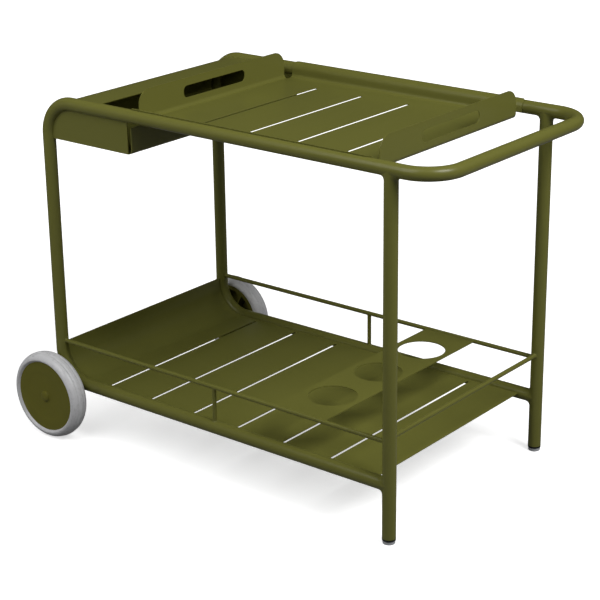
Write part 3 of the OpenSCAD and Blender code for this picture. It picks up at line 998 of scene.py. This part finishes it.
@dataclass
class Wheel:
    """The tyre and the centre cap of one wheel.

    Heights are counted from the wheel's middle plane, away from the cart.

    Attributes:
        shop: What the sub-assemblies share.
        side: The side of the cart that the wheel is on.
        groove: Distance of each tread groove from the middle plane.
        groove_depth: Depth of a groove.
        groove_width: Half width of a groove.
        shoulder: Height of the tread over the tyre's widest line.
        turn_in: Angle from the tread's middle at which the side meets the bead, in radians.
        bead: Radius of the tyre's edge beside the hub.
        bead_reach: Distance of that edge inside the tyre's widest line.
        disc: Thickness of the hub disc.
        flange: Thickness of the hub's flange at the frame side.
        rim_step: Depth of the tyre's foot behind the hub disc.
        seat: Clearance between tyre and hub.
        tread_points: Points across the tread.
        tyre_steps: Points round the tyre.
        cap_button: Radius of the raised middle of the cap.
        cap_round: Power that shapes the button. One would make it an ellipse.
        cap_brim: Thickness of the cap's brim round the button.
        cap_seat: Depth of the cap's collar in the hub.
        cap_wall: Wall of the cap over the axle.
        cap_points: Points across half the button.
        cap_steps: Points round the cap.
    """

    shop: Shop
    side: Side
    groove: float = 6.3 * MM
    groove_depth: float = 1.1 * MM
    groove_width: float = 1.8 * MM
    shoulder: float = 13 * MM
    turn_in: float = 1.45
    bead: float = 1.8 * MM
    bead_reach: float = 0.2 * MM
    disc: float = 3 * MM
    flange: float = 2.5 * MM
    rim_step: float = 5 * MM
    seat: float = 0.05 * MM
    tread_points: int = 101
    tyre_steps: int = 160
    cap_button: float = 10.6 * MM
    cap_round: float = 0.8
    cap_brim: float = 0.6 * MM
    cap_seat: float = 1.95 * MM
    cap_wall: float = 1 * MM
    cap_points: int = 16
    cap_steps: int = 64

    def tyre_outline(self) -> np.ndarray:
        """Outline of the tyre's section, as radius and height.

        The tread is half an ellipse: at angle t from its middle the height is half the tyre's
        width times sin t, and the radius is the widest line's plus the shoulder times cos t. Each
        groove takes away its depth times the exponent of minus the squared distance from its
        middle over its half width. The beads slope down to the hub disc, and the foot follows
        the hub's rim.

        Returns:
            The closed outline.
        """
        label = self.side.label
        outer, width = extent(f"tyre_{label}")[2] / 2, extent(f"tyre_{label}")[1] / 2
        disc_r = extent(f"wheel_hub_{label}")[2] / 2 + self.seat
        face = extent(f"wheel_hub_{label}")[1] / 2
        widest = outer - self.shoulder
        swing = np.linspace(-self.turn_in, self.turn_in, self.tread_points)
        height = width * np.sin(swing)
        radius = widest + self.shoulder * np.cos(swing)
        for place in (-self.groove, self.groove):
            share = np.exp(-((height - place) / self.groove_width) ** 2)
            radius = radius - self.groove_depth * share
        tread = np.stack([radius, height], axis=1)
        edge = widest - self.bead_reach
        back, low = face - self.disc - self.seat, self.flange + self.seat - face
        foot = disc_r - self.rim_step
        inner = rounded([(*tread[-1], 0), (edge, width, self.bead), (disc_r, face, 0),
                         (disc_r, back, 0), (foot, back, 0), (foot, low, 0), (disc_r, low, 0),
                         (disc_r, -face, 0), (edge, -width, self.bead), (*tread[0], 0)])
        return np.concatenate([tread, inner[1:-1]])

    def cap_outline(self) -> np.ndarray:
        """Outline of the cap, from the middle of its button to the middle of its hollow.

        At angle t from the middle the button's distance from the axle is its radius times sin t
        to the power of the roundness, and its height over the brim is the rise times cos t to
        the same power. The hollow has the same form, a wall smaller.

        Returns:
            The outline, open at the axle.
        """
        node = f"wheel_cap_{self.side.label}"
        radius, height = extent(node)[2] / 2, extent(node)[1]
        brim = self.cap_seat + self.cap_brim
        swing = np.linspace(0, math.pi / 2, self.cap_points)
        form = np.stack([np.sin(swing), np.cos(swing)], axis=1).clip(0) ** self.cap_round
        button = form * (self.cap_button, height - brim) + (0, brim)
        hollow = form[::-1] * (self.cap_button - self.cap_wall, height - brim) + (0, self.cap_seat)
        collar = radius - self.cap_seat
        shell = rounded([(self.cap_button, brim, 0), (radius, brim, self.cap_brim / 2),
                         (radius, self.cap_seat, 0), (collar, self.cap_seat, 0), (collar, 0, 0),
                         (collar - self.cap_wall, 0, 0),
                         (collar - self.cap_wall, self.cap_seat, 0)])
        return np.concatenate([button, shell[1:], hollow])

    def build(self) -> None:
        """Adds the tyre and the cap."""
        label, body = self.side.label, self.side.wheel
        axis = (0.0, float(self.side.value), 0.0)
        centre = tuple(middle(f"tyre_{label}"))
        tyre = turned(f"tyre_tread_{label}", self.tyre_outline(), centre, axis, self.tyre_steps)
        rubber = TyreRubber(f"rubber_{label}", centre).material()
        self.shop.finish(tyre, rubber, "tyre_rubber", body, f"tyre_{label}")
        cap_node = f"wheel_cap_{label}"
        cap_low = middle(cap_node) - np.array(axis) * extent(cap_node)[1] / 2
        cap = turned(f"hub_cap_{label}", self.cap_outline(), cap_low, axis, self.cap_steps, True)
        self.shop.finish(cap, self.shop.moulded, "hub_plastic", body, cap_node)


@dataclass
class Foot:
    """The pale pad under one front leg.

    Attributes:
        shop: What the sub-assemblies share.
        side: The side of the cart that the foot is on.
        upper_edge: Radius of the pad's upper edge.
        lower_edge: Radius of its lower edge.
        spigot: Radius of the spigot in the plug.
        pad: Thickness of the pad.
        steps: Points round the pad.
    """

    shop: Shop
    side: Side
    upper_edge: float = 0.8 * MM
    lower_edge: float = 1.6 * MM
    spigot: float = 4 * MM
    pad: float = 7 * MM
    steps: int = 64

    def build(self) -> None:
        """Adds the pad, turned round the leg's axis."""
        node = f"foot_pad_{self.side.label}"
        low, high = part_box(node)
        centre = (*middle(node)[:2], low[2])
        radius, height = extent(node)[0] / 2, high[2] - low[2]
        outline = rounded([(0, 0, 0), (radius, 0, self.lower_edge),
                           (radius, self.pad, self.upper_edge), (self.spigot, self.pad, 0),
                           (self.spigot, height, 0), (0, height, 0)])
        pad = turned(f"glide_{self.side.label}", outline, centre, UP, self.steps, True)
        self.shop.finish(pad, self.shop.pad, "foot_plastic", Body.FRAME, node)


@dataclass
class CartLooks:
    """Finishes of the nodes that keep their solid shape.

    Attributes:
        shop: What the sub-assemblies share.
    """

    shop: Shop

    def dress(self) -> None:
        """Gives every node the material of its slot and soft shading."""
        by_slot = {"frame_paint": self.shop.paint, "tray_paint": self.shop.paint,
                   "hub_plastic": self.shop.moulded, "foot_plastic": self.shop.pad,
                   "black_plastic": self.shop.black, "axle_steel": self.shop.steel,
                   "tyre_rubber": self.shop.black}
        slots = {part["node"]: part["material_slot"] for part in frame["record"]["subparts"]}
        for name, node in frame["nodes"].items():
            coat(node, by_slot[slots[name]])
            soften(node, self.shop.shading)
            log.info("node %s: %s", name, slots[name])


def main() -> None:
    """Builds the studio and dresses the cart."""
    logging.basicConfig(level=logging.INFO, format="%(name)s %(message)s")
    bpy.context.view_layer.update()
    Studio().build()
    shop = Shop(PowderCoat("olive_paint", OLIVE).material(),
                MouldedPlastic("olive_plastic", OLIVE_MOULDED).material(),
                MouldedPlastic("pad_plastic", PAD_GREY, 0.4, glow=0.3).material(),
                MouldedPlastic("black_plastic", SOOT, 0.45).material(),
                TurnedSteel("axle_steel").material(), soft_shading())
    CartLooks(shop).dress()
    Welds(shop).build()
    for side in Side:
        Wheel(shop, side).build()
        Foot(shop, side).build()


if __name__ == "__main__":
    main()
